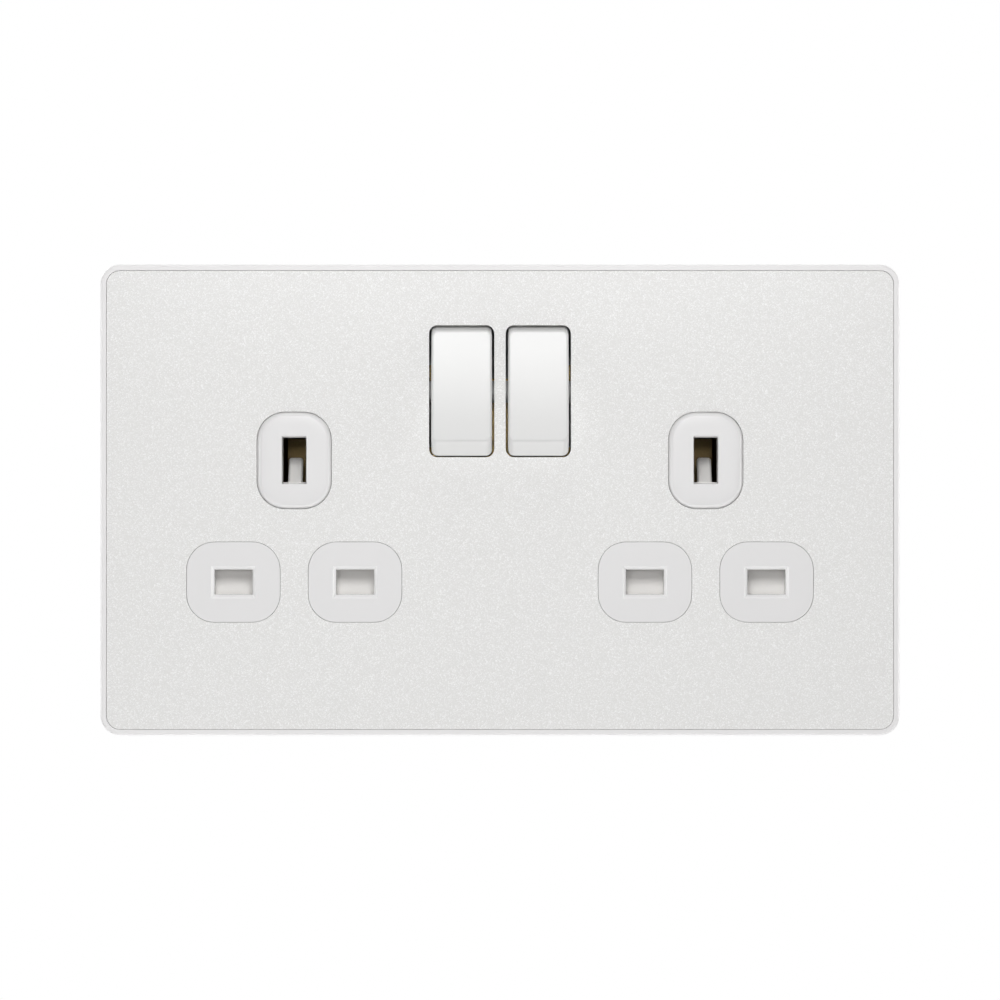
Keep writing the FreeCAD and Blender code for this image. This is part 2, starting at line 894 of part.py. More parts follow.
def earth_lane_boxes():
    """Outline of the earth bar: a lane between the earth clips with a leg to its terminal."""
    half = bar_width / 2
    boxes = [
        (outlets["left"] - half, outlets["right"] + half, earth_row_z - half, earth_row_z + half)
    ]
    x = terminals["earth"]
    boxes.append((x - half, x + half, terminal_top - block_lap, earth_row_z + half))
    return boxes


def contact_lane_boxes(name):
    """Outline of a line contact: up from its clip, across and up again to the switch."""
    half = bar_width / 2
    lane_x = line_lane_x(name)
    switch_x = rockers[name]
    x0, x1 = sorted((lane_x, switch_x))
    return [
        (lane_x - half, lane_x + half, live_row_z - half, contact_lane_z + half),
        (x0 - half, x1 + half, contact_lane_z - half, contact_lane_z + half),
        (switch_x - half, switch_x + half, contact_lane_z - half, contact_turn_z),
    ]


def clip_path(front, back, mouth, grip):
    """Half of a clip's outer line as (depth, side) points, from its mouth to its web."""
    wide = mouth / 2 + clip_thickness
    tight = grip / 2 + clip_thickness
    throat = front + clip_flare
    return [
        (front, wide),
        (throat, tight),
        (throat + clip_flare / 2, tight),
        (back - 2 * clip_thickness, wide),
        (back, wide),
    ]


def folded(points, run):
    """Sheet of the clips' thickness, folded along the outer line and run sideways."""
    return Part.makePolygon(points).makeOffset2D(clip_thickness, 0, True, True).extrude(run)


def live_clip(x, back):
    """Spring clip whose jaws grip a line or neutral pin from above and below."""
    half = clip_path(clip_front, back, clip_mouth, clip_grip)
    left = x - clip_width / 2
    ring = [Vec(left, y, live_row_z + side) for y, side in half]
    ring += [Vec(left, y, live_row_z - side) for y, side in reversed(half)]
    return folded(ring, Vec(clip_width, 0, 0))


def earth_clip(name):
    """Spring clip whose jaws grip the earth pin from both sides."""
    half = clip_path(earth_clip_front_y, deep_bar_y, clip_mouth, clip_grip)
    x = outlets[name]
    low = earth_row_z - earth_clip_height / 2
    ring = [Vec(x - side, y, low) for y, side in half]
    ring += [Vec(x + side, y, low) for y, side in reversed(half)]
    return folded(ring, Vec(0, 0, earth_clip_height))


def line_contact(name):
    """Line clip, bar and folded-over fixed contact arm of one outlet, pressed in one piece."""
    bar = sheet(contact_lane_boxes(name), line_bar_y, line_clip_back)
    half = bar_width / 2
    x = rockers[name]
    riser = slab(
        x - half,
        x + half,
        contact_plate_y,
        line_clip_back,
        contact_turn_z - bar_thickness,
        contact_turn_z,
    )
    plate = slab(
        x - half,
        x + half,
        contact_plate_y,
        contact_plate_y + bar_thickness,
        fixed_tip_z - contact_tail,
        contact_turn_z,
    )
    return joined([bar, riser, plate, live_clip(line_lane_x(name), line_clip_back)])


def fixed_tip(name):
    """Silver strip on the fixed contact."""
    x = rockers[name]
    half_x = contact_tip_width / 2
    half_z = contact_tip_length / 2
    low = fixed_tip_z - half_z
    return slab(x - half_x, x + half_x, fixed_tip_y, contact_plate_y, low, fixed_tip_z + half_z)


def neutral_bar():
    """Bar that joins both neutral clips and the neutral terminal."""
    return sheet(neutral_lane_boxes(), deep_bar_y, floor_y)


def earth_bar():
    """Bar that joins both earth clips and the earth terminal."""
    return sheet(earth_lane_boxes(), deep_bar_y, floor_y)


def line_bar():
    """Bar from the line terminal up to both switches, with a knife edge for each see-saw."""
    half = bar_width / 2
    ear_start = seesaw_width / 2 + part_gap
    ear_end = ear_start + ridge_ear
    back = feed_bar_y + bar_thickness
    arms = [
        (-half, half, terminal_bottom, rocker_rise + half),
        (-rocker_offset - ear_end, rocker_offset + ear_end, rocker_rise - half, rocker_rise + half),
    ]
    pieces = [sheet(arms, feed_bar_y, back)]
    for x in rockers.values():
        knife = [
            (seesaw_y, rocker_rise),
            (feed_bar_y, rocker_rise - ridge_half),
            (back, rocker_rise - ridge_half),
            (back, rocker_rise + ridge_half),
            (feed_bar_y, rocker_rise + ridge_half),
        ]
        pieces.append(prism_x(knife, x - seesaw_width / 2, x + seesaw_width / 2))
        for x0, x1 in ((x - ear_end, x - ear_start), (x + ear_start, x + ear_end)):
            pieces.append(
                slab(
                    x0,
                    x1,
                    feed_bar_y - ridge_ear_height,
                    back,
                    rocker_rise - half / 2,
                    rocker_rise + half / 2,
                )
            )
    return joined(pieces)


def tilted(shape, name, y, degrees):
    """A shape turned about the cross axis at depth y and the rockers' height."""
    turned = shape.copy()
    turned.rotate(Vec(rockers[name], y, rocker_rise), X_AXIS, degrees)
    return turned


def moving_contact(name):
    """See-saw strip that rocks on the knife edge, at rest with its upper arm lifted."""
    x = rockers[name]
    front = seesaw_y + seesaw_groove - seesaw_thickness
    back = seesaw_y + seesaw_groove
    strip = slab(
        x - seesaw_width / 2,
        x + seesaw_width / 2,
        front,
        back,
        rocker_rise - seesaw_lower,
        rocker_rise + seesaw_upper,
    )
    apex = seesaw_y - ridge_gap
    slope = seesaw_groove_half / seesaw_groove
    mouth = slope * (back + ridge_height - apex)
    groove = [
        (apex, rocker_rise),
        (back + ridge_height, rocker_rise - mouth),
        (back + ridge_height, rocker_rise + mouth),
    ]
    strip = strip.cut(prism_x(groove, x - seesaw_width, x + seesaw_width))
    return tilted(strip, name, seesaw_y, seesaw_throw / 2)


def moving_tip(name):
    """Silver strip on the upper arm of the see-saw, with a rounded face."""
    x = rockers[name]
    z = rocker_rise + contact_reach
    back = seesaw_y + seesaw_groove
    half_x = contact_tip_width / 2
    half_z = contact_tip_length / 2
    front = back + contact_tip_height
    button = slab(x - half_x, x + half_x, back, front, z - half_z, z + half_z)
    dome = cross_rod(x - half_x, x + half_x, front - contact_dome, z, contact_dome)
    return tilted(button.common(dome), name, seesaw_y, seesaw_throw / 2)


def rocker(name):
    """Hollow rocker with a crowned face, two trunnions and a bored stem for the plunger."""
    x = rockers[name]
    z = rocker_rise
    root_y = pivot_y + rocker_root
    end_y = pivot_y - rocker_height
    ceiling_y = end_y + rocker_wall
    slope = rocker_taper / (rocker_height + rocker_root)
    left = x - rocker_width / 2
    half = rocker_root_half - rocker_taper
    base = rocker_root_half
    outline = [
        Part.makeLine(Vec(left, end_y, z + half), Vec(left, root_y, z + base)),
        Part.makeLine(Vec(left, root_y, z + base), Vec(left, root_y, z - base)),
        Part.makeLine(Vec(left, root_y, z - base), Vec(left, end_y, z - half)),
        Part.Arc(
            Vec(left, end_y, z - half),
            Vec(left, end_y - rocker_crown, z),
            Vec(left, end_y, z + half),
        ).toShape(),
    ]
    shell = Part.Face(Part.Wire(outline)).extrude(Vec(rocker_width, 0, 0))
    corners = [edge for edge in shell.Edges if edge.BoundBox.YLength > rocker_height]
    shell = bevelled_front(shell.makeFillet(rocker_corner, corners), rocker_edge_bevel)
    narrow = half + slope * rocker_wall - rocker_wall
    wide = base + slope * rib - rocker_wall
    hollow = prism_x(
        [
            (ceiling_y, z - narrow),
            (root_y + rib, z - wide),
            (root_y + rib, z + wide),
            (ceiling_y, z + narrow),
        ],
        left + rocker_wall,
        left + rocker_width - rocker_wall,
    )
    shell = shell.cut(hollow)
    stem = rod(x, z, bore_radius + stem_wall, ceiling_y - rocker_wall / 2, pivot_y + stem_length)
    pins = []
    for side in (-1, 1):
        start = x + side * (rocker_width / 2 - rocker_wall)
        x0, x1 = sorted((start, x + side * trunnion_end))
        pins.append(cross_rod(x0, x1, pivot_y, z, trunnion_radius))
    body = joined([shell, stem] + pins)
    body = body.cut(rod(x, z, bore_radius, pivot_y + bore_end, beyond_y))
    return tilted(body, name, pivot_y, -rocker_throw / 2)


def plunger(name):
    """Blunt-nosed pin that slides in the rocker's stem and presses on the see-saw."""
    x = rockers[name]
    tail = pivot_y + plunger_reach - plunger_length
    tip = pivot_y + plunger_reach
    shaft = rod(x, rocker_rise, plunger_radius, tail, tip)
    nose = max(shaft.Faces, key=lambda face: face.CenterOfMass.y)
    shaft = shaft.makeChamfer(plunger_nose, nose.Edges)
    return tilted(shaft, name, pivot_y, -rocker_throw / 2)


def coil(length, radius, turns):
    """Compression spring of square wire along +Z, radius to its outer side."""
    mean = radius - spring_wire / 2
    rise = length - spring_wire
    steps = turns * spring_sides
    points = []
    for step in range(steps + 1):
        turn = 2 * math.pi * step / spring_sides
        points.append(Vec(mean * math.cos(turn), mean * math.sin(turn), rise * step / steps))
    half = spring_wire / 2
    ring = [Vec(mean - half, 0, -half), Vec(mean + half, 0, -half)]
    ring += [Vec(mean + half, 0, half), Vec(mean - half, 0, half)]
    section = Part.makePolygon(ring + ring[:1])
    spring = Part.makePolygon(points).makePipeShell([section], True, False, 1)
    spring.translate(Vec(0, 0, half))
    return spring


def plunger_spring(name):
    """Spring between the rocker's bore and the plunger's tail."""
    spring = coil(
        plunger_spring_length - 2 * spring_gap, plunger_radius - spring_gap, plunger_spring_turns
    )
    spring.rotate(Vec(0, 0, 0), X_AXIS, -90)
    spring.translate(Vec(rockers[name], pivot_y + bore_end + spring_gap, rocker_rise))
    return tilted(spring, name, pivot_y, -rocker_throw / 2)


def shutter(name):
    """Sliding blade over both live slots with a ramped tongue behind the earth slot."""
    x = outlets[name]
    half_neck = shutter_neck / 2
    blade = slab(
        x - shutter_half_width,
        x + shutter_half_width,
        shutter_front_y,
        shutter_back_y,
        shutter_bottom_z,
        shutter_top_z,
    )
    neck = slab(
        x - half_neck,
        x + half_neck,
        shutter_front_y,
        shutter_back_y,
        shutter_bottom_z,
        tongue_foot_z,
    )
    drop = tongue_thickness
    ramp = [
        (shutter_front_y, tongue_foot_z),
        (tongue_tip_y, tongue_top_z),
        (tongue_back_y, tongue_top_z - drop / 2),
        (shutter_back_y, tongue_foot_z - drop),
        (shutter_front_y, tongue_foot_z - drop),
    ]
    tongue = prism_x(ramp, x - tongue_width / 2, x + tongue_width / 2)
    sloping = [
        edge
        for edge in tongue.Edges
        if abs(edge.Length - shutter_travel * math.sqrt(2)) < part_gap
        and edge.BoundBox.YMax < tongue_tip_y + part_gap
    ]
    tongue = tongue.makeChamfer(tongue_chamfer, sloping)
    notch_half = shutter_spring_radius + part_gap
    notch = slab(
        x - notch_half, x + notch_half, through_y, beyond_y, -plate_height, shutter_spring_top
    )
    return joined([blade, neck, tongue]).cut(notch)


def shutter_spring(name):
    """Spring that lifts the shutter back over the slots."""
    spring = coil(
        shutter_spring_length - 2 * spring_gap, shutter_spring_radius, shutter_spring_turns
    )
    spring.translate(Vec(outlets[name], shutter_spring_y, shutter_spring_seat + spring_gap))
    return spring


def terminal_half_width(name):
    """Half the width of a terminal block: its outermost way and the metal beside it."""
    return cable_ways[name][-1] + terminal_side


def terminal_block(name):
    """Brass block, each of its ways a tunnel for cables from below and a thread from behind."""
    x = terminals[name]
    half = terminal_half_width(name)
    block = slab(x - half, x + half, terminal_front_y, terminal_back_y, terminal_bottom, terminal_top)
    holes = []
    way = cable_way / 2
    for shift in cable_ways[name]:
        centre = x + shift
        low = terminal_bottom - rib
        high = terminal_top - rib
        holes.append(
            slab(centre - way, centre + way, cable_hole_y - way, cable_hole_y + way, low, high)
        )
        thread = terminal_screw_radius + terminal_screw_gap
        holes.append(rod(centre, terminal_mid_z, thread, cable_hole_y, beyond_y))
    return block.cut(holes)


def slotted(screw, x, z, radius, top):
    """A screw with a slot cut across its back end."""
    half = screw_slot_width / 2
    return screw.cut(slab(x - radius, x + radius, top - screw_slot_depth, top, z - half, z + half))


def terminal_screws(name):
    """The headless clamping screws of a terminal, one for each of its ways."""
    screws = []
    tip = cable_hole_y + cable_way / 2 + terminal_screw_back
    top = terminal_back_y + terminal_screw_proud
    for shift in cable_ways[name]:
        x = terminals[name] + shift
        shaft = rod(x, terminal_mid_z, terminal_screw_radius, tip, top)
        screws.append(slotted(shaft, x, terminal_mid_z, terminal_screw_radius, top))
    return Part.makeCompound(screws)


def module_screws():
    """The screws that draw the rear moulding and the strap to the front moulding."""
    screws = []
    tip = module_front_y + screw_tip_cover + part_gap
    top = screw_seat_y + screw_head_height
    for x, z in screw_places:
        shaft = rod(x, z, screw_radius, tip, screw_seat_y)
        head = rod(x, z, screw_head_radius, screw_seat_y, top)
        screws.append(slotted(joined([shaft, head]), x, z, screw_head_radius, top))
    return Part.makeCompound(screws)


def build():
    """Makes every piece and writes one file for each."""
    pieces = {
        "face_panel": face_panel(),
        "cover_tray": cover_tray(),
        "mounting_strap": mounting_strap(),
        "front_moulding": front_moulding(),
        "rear_moulding": rear_moulding(),
        "line_bar": line_bar(),
        "neutral_bar": neutral_bar(),
        "earth_bar": earth_bar(),
        "module_screws": module_screws(),
    }
    for name in terminals:
        pieces[f"{name}_terminal"] = terminal_block(name)
        pieces[f"{name}_terminal_screws"] = terminal_screws(name)
    for name in outlets:
        pieces[f"{name}_rocker"] = rocker(name)
        pieces[f"{name}_plunger"] = plunger(name)
        pieces[f"{name}_plunger_spring"] = plunger_spring(name)
        pieces[f"{name}_moving_contact"] = moving_contact(name)
        pieces[f"{name}_moving_tip"] = moving_tip(name)
        pieces[f"{name}_fixed_tip"] = fixed_tip(name)
        pieces[f"{name}_line_contact"] = line_contact(name)
        pieces[f"{name}_neutral_clip"] = live_clip(neutral_lane_x(name), deep_bar_y)
        pieces[f"{name}_earth_clip"] = earth_clip(name)
        pieces[f"{name}_shutter"] = shutter(name)
        pieces[f"{name}_shutter_spring"] = shutter_spring(name)
    os.makedirs("parts", exist_ok=True)
    for name, shape in pieces.items():
        shape.exportStep(f"parts/{name}.step")


build()
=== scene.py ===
"""Looks of a twin switched wall socket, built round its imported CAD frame.

The face looks along -Y, +X is to the right of someone facing the plate and +Z is up. Lengths are
in metres.
"""
import json
import logging
import math
from dataclasses import dataclass
from enum import Enum
from typing import Callable, Iterable, Sequence

import bmesh
import bpy
from mathutils import Matrix, Vector

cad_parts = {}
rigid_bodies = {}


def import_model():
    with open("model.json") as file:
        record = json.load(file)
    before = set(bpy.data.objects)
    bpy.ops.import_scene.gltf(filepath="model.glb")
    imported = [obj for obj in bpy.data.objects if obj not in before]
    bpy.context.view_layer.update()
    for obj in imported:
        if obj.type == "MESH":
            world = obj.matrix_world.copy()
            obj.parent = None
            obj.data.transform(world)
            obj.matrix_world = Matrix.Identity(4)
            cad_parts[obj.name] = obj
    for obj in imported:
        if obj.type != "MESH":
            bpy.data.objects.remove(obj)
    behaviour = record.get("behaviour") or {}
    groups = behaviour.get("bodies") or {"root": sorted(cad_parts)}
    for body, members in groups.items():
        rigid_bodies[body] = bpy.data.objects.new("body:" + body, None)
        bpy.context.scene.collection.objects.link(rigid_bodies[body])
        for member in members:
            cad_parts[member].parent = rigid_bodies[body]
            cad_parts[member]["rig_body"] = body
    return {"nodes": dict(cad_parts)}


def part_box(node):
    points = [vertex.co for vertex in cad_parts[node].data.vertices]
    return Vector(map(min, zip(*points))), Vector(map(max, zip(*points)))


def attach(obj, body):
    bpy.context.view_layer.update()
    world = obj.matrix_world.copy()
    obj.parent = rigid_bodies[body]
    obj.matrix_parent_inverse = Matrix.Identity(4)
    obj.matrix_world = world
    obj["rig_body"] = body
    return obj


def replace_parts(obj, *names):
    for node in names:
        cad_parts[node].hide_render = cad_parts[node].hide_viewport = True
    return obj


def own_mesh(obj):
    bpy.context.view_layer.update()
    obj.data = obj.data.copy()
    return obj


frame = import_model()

log = logging.getLogger("twin_socket")

MM = 0.001
SIDES = {"left": -1, "right": 1}
SPRING_SLOT = "spring_steel"
# Vertices nearer to each other than this are one.
WELD = 2e-6
# Faces that turn by less than this lie in one plane.
FLAT_ANGLE = math.radians(0.5)
# Edges that turn by more than this are sharp.
SMOOTH_ANGLE = math.radians(32)
# A face whose normal has at least this much of +Y looks at the wall.
BACK_FACING = 0.99
# How far large faces outweigh the narrow bevels beside them in a vertex's normal.
NORMAL_WEIGHT = 100


class Body(Enum):
    """Rigid groups of the frame that added pieces ride on."""

    HOUSING = "housing"
    ROCKER = "{side}_rocker"

    def of(self, side: str = "") -> str:
        """Name of the body, for one side where there are two.

        Args:
            side: left or right.

        Returns:
            The body's name in the frame.
        """
        return self.value.format(side=side)


class Shade:
    """A number or colour in a shader, on which Python's operators add nodes."""

    def __init__(self, graph: "Graph", socket: bpy.types.NodeSocket) -> None:
        """Keeps the graph and the output socket that it stands for."""
        self.graph = graph
        self.socket = socket

    def _math(self, operation: str, first: object, second: object) -> "Shade":
        """Adds one Math node.

        Args:
            operation: the Math node's operation.
            first: first value or Shade.
            second: second value or Shade.

        Returns:
            The node's result.
        """
        return self.graph.node("ShaderNodeMath", {"operation": operation}, {0: first, 1: second})

    def __add__(self, other: object) -> "Shade":
        """Sum."""
        return self._math("ADD", self, other)

    __radd__ = __add__

    def __mul__(self, other: object) -> "Shade":
        """Product."""
        return self._math("MULTIPLY", self, other)

    __rmul__ = __mul__

    def __sub__(self, other: object) -> "Shade":
        """Difference."""
        return self._math("SUBTRACT", self, other)

    def __rsub__(self, other: object) -> "Shade":
        """Difference the other way round."""
        return self._math("SUBTRACT", other, self)

    def __pow__(self, other: object) -> "Shade":
        """Power."""
        return self._math("POWER", self, other)

    def __abs__(self) -> "Shade":
        """Absolute value."""
        return self._math("ABSOLUTE", self, 0.0)

    def at_least(self, other: object) -> "Shade":
        """The larger of this and another."""
        return self._math("MAXIMUM", self, other)

    def at_most(self, other: object) -> "Shade":
        """The smaller of this and another."""
        return self._math("MINIMUM", self, other)


class Graph:
    """Builds the node tree of one material or of the world."""

    def __init__(self, tree: bpy.types.NodeTree) -> None:
        """Empties the tree and keeps it."""
        self.tree = tree
        tree.nodes.clear()

    def node(
        self,
        kind: str,
        settings: dict[str, object] | None = None,
        values: dict[object, object] | None = None,
        out: int | str = 0,
    ) -> Shade:
        """Adds a node, its settings first, and then the values or links of its inputs.

        Args:
            kind: the node's type name.
            settings: attributes of the node.
            values: numbers, colours or Shades by input name or index.
            out: the output wanted.

        Returns:
            That output.
        """
        made = self.tree.nodes.new(kind)
        for name, value in (settings or {}).items():
            setattr(made, name, value)
        for name, value in (values or {}).items():
            self.feed(made.inputs[name], value)
        return Shade(self, made.outputs[out]) if made.outputs else Shade(self, None)

    def feed(self, socket: bpy.types.NodeSocket, value: object) -> None:
        """Sets or links one input.

        Args:
            socket: the input.
            value: a number, colour or Shade.
        """
        if isinstance(value, Shade):
            self.tree.links.new(value.socket, socket)
        else:
            socket.default_value = value

    def place(self, stretch: Sequence[float] = (1, 1, 1)) -> Shade:
        """Object coordinates, stretched so that a pattern can run along an axis.

        Args:
            stretch: scale on each axis.

        Returns:
            The coordinates.
        """
        where = self.node("ShaderNodeTexCoord", out="Object")
        return self.node("ShaderNodeMapping", None, {"Vector": where, "Scale": stretch})

    def noise(
        self, scale: float, detail: float = 2, stretch: Sequence[float] = (1, 1, 1)
    ) -> Shade:
        """Soft noise between 0 and 1.

        Args:
            scale: features to the metre.
            detail: octaves.
            stretch: scale on each axis.

        Returns:
            The noise's value.
        """
        values = {"Vector": self.place(stretch), "Scale": scale, "Detail": detail}
        return self.node("ShaderNodeTexNoise", None, values, "Fac")

    def flecks(self, scale: float) -> Shade:
        """One random value to each small cell.

        Args:
            scale: cells to the metre.

        Returns:
            The cell's value between 0 and 1.
        """
        values = {"Vector": self.place(), "Scale": scale}
        colour = self.node("ShaderNodeTexVoronoi", None, values, "Color")
        return self.node("ShaderNodeSeparateColor", None, {0: colour}, 0)

    def mix(self, factor: object, low: Sequence[float], high: Sequence[float]) -> Shade:
        """A colour between two.

        Args:
            factor: 0 for the first and 1 for the second.
            low: first colour.
            high: second colour.

        Returns:
            The colour.
        """
        settings = {"data_type": "RGBA"}
        values = {0: factor, 6: (*low, 1), 7: (*high, 1)}
        return self.node("ShaderNodeMix", settings, values, 2)

    def seen_directly(self) -> Shade:
        """Whether a ray comes from the camera, or from a mirror or glass that shows the background.

        Returns:
            1 for such rays and 0 for the light that falls on things.
        """
        path = self.tree.nodes.new("ShaderNodeLightPath")
        seen = Shade(self, path.outputs["Is Camera Ray"])
        for name in ("Is Glossy Ray", "Is Transmission Ray"):
            seen = seen.at_least(Shade(self, path.outputs[name]))
        return seen

    def bump(self, height: Shade) -> Shade:
        """A normal that follows a height.

        Args:
            height: the height in metres.

        Returns:
            The normal.
        """
        values = {"Strength": 1.0, "Distance": 1.0, "Height": height}
        return self.node("ShaderNodeBump", None, values)


@dataclass(frozen=True)
class PaintedDepthShade:
    """Painted shade that darkens the colour along +Y, standing in for the shade deep inside the
    earth clips.
    """

    start: float
    end: float
    least: float

    def shade(self, graph: Graph) -> Shade:
        """How much of the colour is left.

        Args:
            graph: the material's graph.

        Returns:
            1 in front of the start, falling to the least value at the end.
        """
        depth = graph.node("ShaderNodeSeparateXYZ", None, {0: graph.place()}, "Y")
        ramp = {"Value": depth, "From Min": self.start, "From Max": self.end}
        return 1 - (1 - self.least) * graph.node("ShaderNodeMapRange", None, ramp)


@dataclass(frozen=True)
class PadRim:
    """The soft fall of the earth pads towards their outline, a rounded rectangle."""

    offset: float = 37.6 * MM
    rise: float = 7.23 * MM
    half_width: float = 6.8 * MM
    half_height: float = 8.83 * MM
    corner: float = 5.1 * MM
    reach: float = 2.0 * MM
    depth: float = 0.12 * MM

    def height(self, graph: Graph) -> Shade:
        """Height of the surface over the pad's outline.

        Args:
            graph: the material's graph.

        Returns:
            0 in the pad's middle, falling smoothly to minus the depth at its outline.
        """
        across = graph.node("ShaderNodeSeparateXYZ", None, {0: graph.place()}, "X")
        along = graph.node("ShaderNodeSeparateXYZ", None, {0: graph.place()}, "Z")
        past_x = abs(abs(across) - self.offset) - (self.half_width - self.corner)
        past_z = abs(along - self.rise) - (self.half_height - self.corner)
        out_x, out_z = past_x.at_least(0.0), past_z.at_least(0.0)
        outside = (out_x * out_x + out_z * out_z) ** 0.5
        inside = past_x.at_least(past_z).at_most(0.0)
        ramp = {"Value": outside + inside - self.corner, "From Min": -self.reach, "From Max": 0.0}
        fall = graph.node("ShaderNodeMapRange", None, ramp)
        return fall * fall * -self.depth


@dataclass(frozen=True)
class Finish:
    """A procedural finish: colours that vary a little, uneven gloss and a fine relief."""

    name: str
    dark: tuple[float, float, float]
    light: tuple[float, float, float]
    roughness: tuple[float, float] = (0.3, 0.4)
    metallic: float = 0.0
    coat: float = 0.0
    coat_roughness: float = 0.1
    specular: float = 0.5
    patch_scale: float = 60
    patch_detail: float = 3
    patch_share: float = 0.6
    grain_scale: float = 2500
    grain_height: float = 2e-6
    stretch: tuple[float, float, float] = (1, 1, 1)
    flecks: float = 0.0
    fleck_scale: float = 5000
    fleck_rarity: float = 1.0
    # Painted shade that darkens the colour along +Y, where a finish has it.
    painted_depth_shade: PaintedDepthShade | None = None
    rim: PadRim | None = None

    def build(self) -> bpy.types.Material:
        """Makes the material.

        Returns:
            The material, ready to be put on a piece.
        """
        material = bpy.data.materials.new(self.name)
        material.use_nodes = True
        graph = Graph(material.node_tree)
        patches = graph.noise(self.patch_scale, self.patch_detail, self.stretch)
        grain = graph.noise(self.grain_scale, stretch=self.stretch)
        tone = patches * self.patch_share + grain * (1 - self.patch_share)
        if self.flecks:
            specks = graph.flecks(self.fleck_scale) ** self.fleck_rarity
            tone = tone * (1 - self.flecks) + specks * self.flecks
        # Painted shade: the tone falls towards the dark colour deeper along +Y.
        if self.painted_depth_shade:
            tone = tone * self.painted_depth_shade.shade(graph)
        low, high = self.roughness
        height = grain * self.grain_height
        if self.rim:
            height = height + self.rim.height(graph)
        values = {
            "Base Color": graph.mix(tone, self.dark, self.light),
            "Roughness": high - (high - low) * tone,
            "Metallic": self.metallic,
            "Specular IOR Level": self.specular,
            "Coat Weight": self.coat,
            "Coat Roughness": self.coat_roughness,
            "Normal": graph.bump(height),
        }
        shader = graph.node("ShaderNodeBsdfPrincipled", None, values)
        graph.node("ShaderNodeOutputMaterial", None, {"Surface": shader})
        return material


FINISHES = {
    finish.name: finish
    for finish in (
        Finish(
            "pearl_panel",
            (0.76, 0.755, 0.74),
            (1.0, 1.0, 1.0),
            (0.30, 0.46),
            coat=0.1,
            # Rare near-white specks: the pearl's own mica flecks, whose glints are painted into the
            # colour as painted highlights.
            flecks=0.8,
            fleck_scale=6500,
            fleck_rarity=4,
            patch_scale=900,
            grain_scale=6500,
            grain_height=1.25e-6,
        ),
        Finish("tray_plastic", (0.82, 0.81, 0.81), (0.85, 0.84, 0.84), (0.28, 0.34)),
        Finish(
            "white_moulding",
            (0.785, 0.778, 0.778),
            (0.81, 0.803, 0.803),
            (0.20, 0.28),
            rim=PadRim(),
        ),
        Finish(
            "rear_moulding",
            (0.66, 0.66, 0.64),
            (0.71, 0.71, 0.69),
            (0.48, 0.60),
            grain_height=6e-6,
            grain_scale=1800,
        ),
        Finish(
            "rocker_gloss",
            (0.677, 0.677, 0.669),
            (0.697, 0.697, 0.689),
            (0.26, 0.32),
            specular=0.55,
        ),
        Finish("shutter_plastic", (0.84, 0.825, 0.80), (0.90, 0.885, 0.86), (0.5, 0.62)),
        Finish("plunger_plastic", (0.60, 0.56, 0.46), (0.68, 0.64, 0.55), (0.4, 0.5)),
        Finish(
            "plated_steel",
            (0.42, 0.43, 0.44),
            (0.60, 0.61, 0.62),
            (0.30, 0.50),
            metallic=1.0,
            flecks=0.6,
            fleck_scale=260,
            patch_scale=200,
        ),
        Finish("zinc_screw", (0.50, 0.51, 0.53), (0.66, 0.67, 0.69), (0.25, 0.38), metallic=1.0),
        Finish("spring_steel", (0.30, 0.31, 0.33), (0.42, 0.43, 0.45), (0.22, 0.34), metallic=1.0),
        Finish(
            "brass",
            (0.55, 0.38, 0.16),
            (0.72, 0.54, 0.27),
            (0.24, 0.42),
            metallic=1.0,
            stretch=(1, 1, 8),
        ),
        # The near-black dark colour and the painted depth shade paint the shade deep inside the
        # earth slots onto the clips.
        Finish(
            "clip_brass",
            (0.05, 0.035, 0.015),
            (0.78, 0.58, 0.28),
            (0.22, 0.36),
            metallic=1.0,
            painted_depth_shade=PaintedDepthShade(1.5 * MM, 6 * MM, 0.12),
        ),
        Finish(
            "brass_block",
            (0.52, 0.37, 0.16),
            (0.70, 0.53, 0.27),
            (0.28, 0.44),
            metallic=1.0,
            stretch=(1, 1, 0.1),
        ),
        Finish("brass_screw", (0.56, 0.40, 0.18), (0.74, 0.57, 0.30), (0.24, 0.36), metallic=1.0),
        Finish("copper_strip", (0.55, 0.27, 0.16), (0.70, 0.38, 0.24), (0.26, 0.40), metallic=1.0),
        Finish("silver_tip", (0.66, 0.65, 0.62), (0.82, 0.81, 0.79), (0.16, 0.28), metallic=1.0),
    )
}


class Paint:
    """Keeps one material for each finish and puts it on pieces."""

    def __init__(self) -> None:
        """Starts with no materials."""
        self.made: dict[str, bpy.types.Material] = {}

    def of(self, slot: str) -> bpy.types.Material:
        """The material of a slot, made when it is first asked for.

        Args:
            slot: name of the finish, which is also the record's slot.

        Returns:
            The material.
        """
        if slot not in self.made:
            self.made[slot] = FINISHES[slot].build()
        return self.made[slot]

    def coat(self, piece: bpy.types.Object, slot: str) -> None:
        """Gives a piece the finish of a material slot.

        Args:
            piece: the mesh object.
            slot: name of the finish.
        """
        piece.data.materials.clear()
        piece.data.materials.append(self.of(slot))


def link(mesh: bpy.types.Mesh, name: str) -> bpy.types.Object:
    """Puts a mesh in the scene.

    Args:
        mesh: the mesh, already in place.
        name: name of the object.

    Returns:
        The object, at the origin.
    """
    piece = bpy.data.objects.new(name, mesh)
    bpy.context.scene.collection.objects.link(piece)
    return piece


def final_mesh(piece: bpy.types.Object) -> bpy.types.Mesh:
    """The mesh of an object with its modifiers applied.

    Args:
        piece: the object.

    Returns:
        A new plain mesh.
    """
    evaluated = piece.evaluated_get(bpy.context.evaluated_depsgraph_get())
    return bpy.data.meshes.new_from_object(evaluated)


def settle(piece: bpy.types.Object) -> bpy.types.Object:
    """Turns a piece's modifiers into plain mesh.

    Args:
        piece: the object.

    Returns:
        The same object, with no modifiers.
    """
    mesh = final_mesh(piece)
    piece.modifiers.clear()
    piece.data = mesh
    return piece


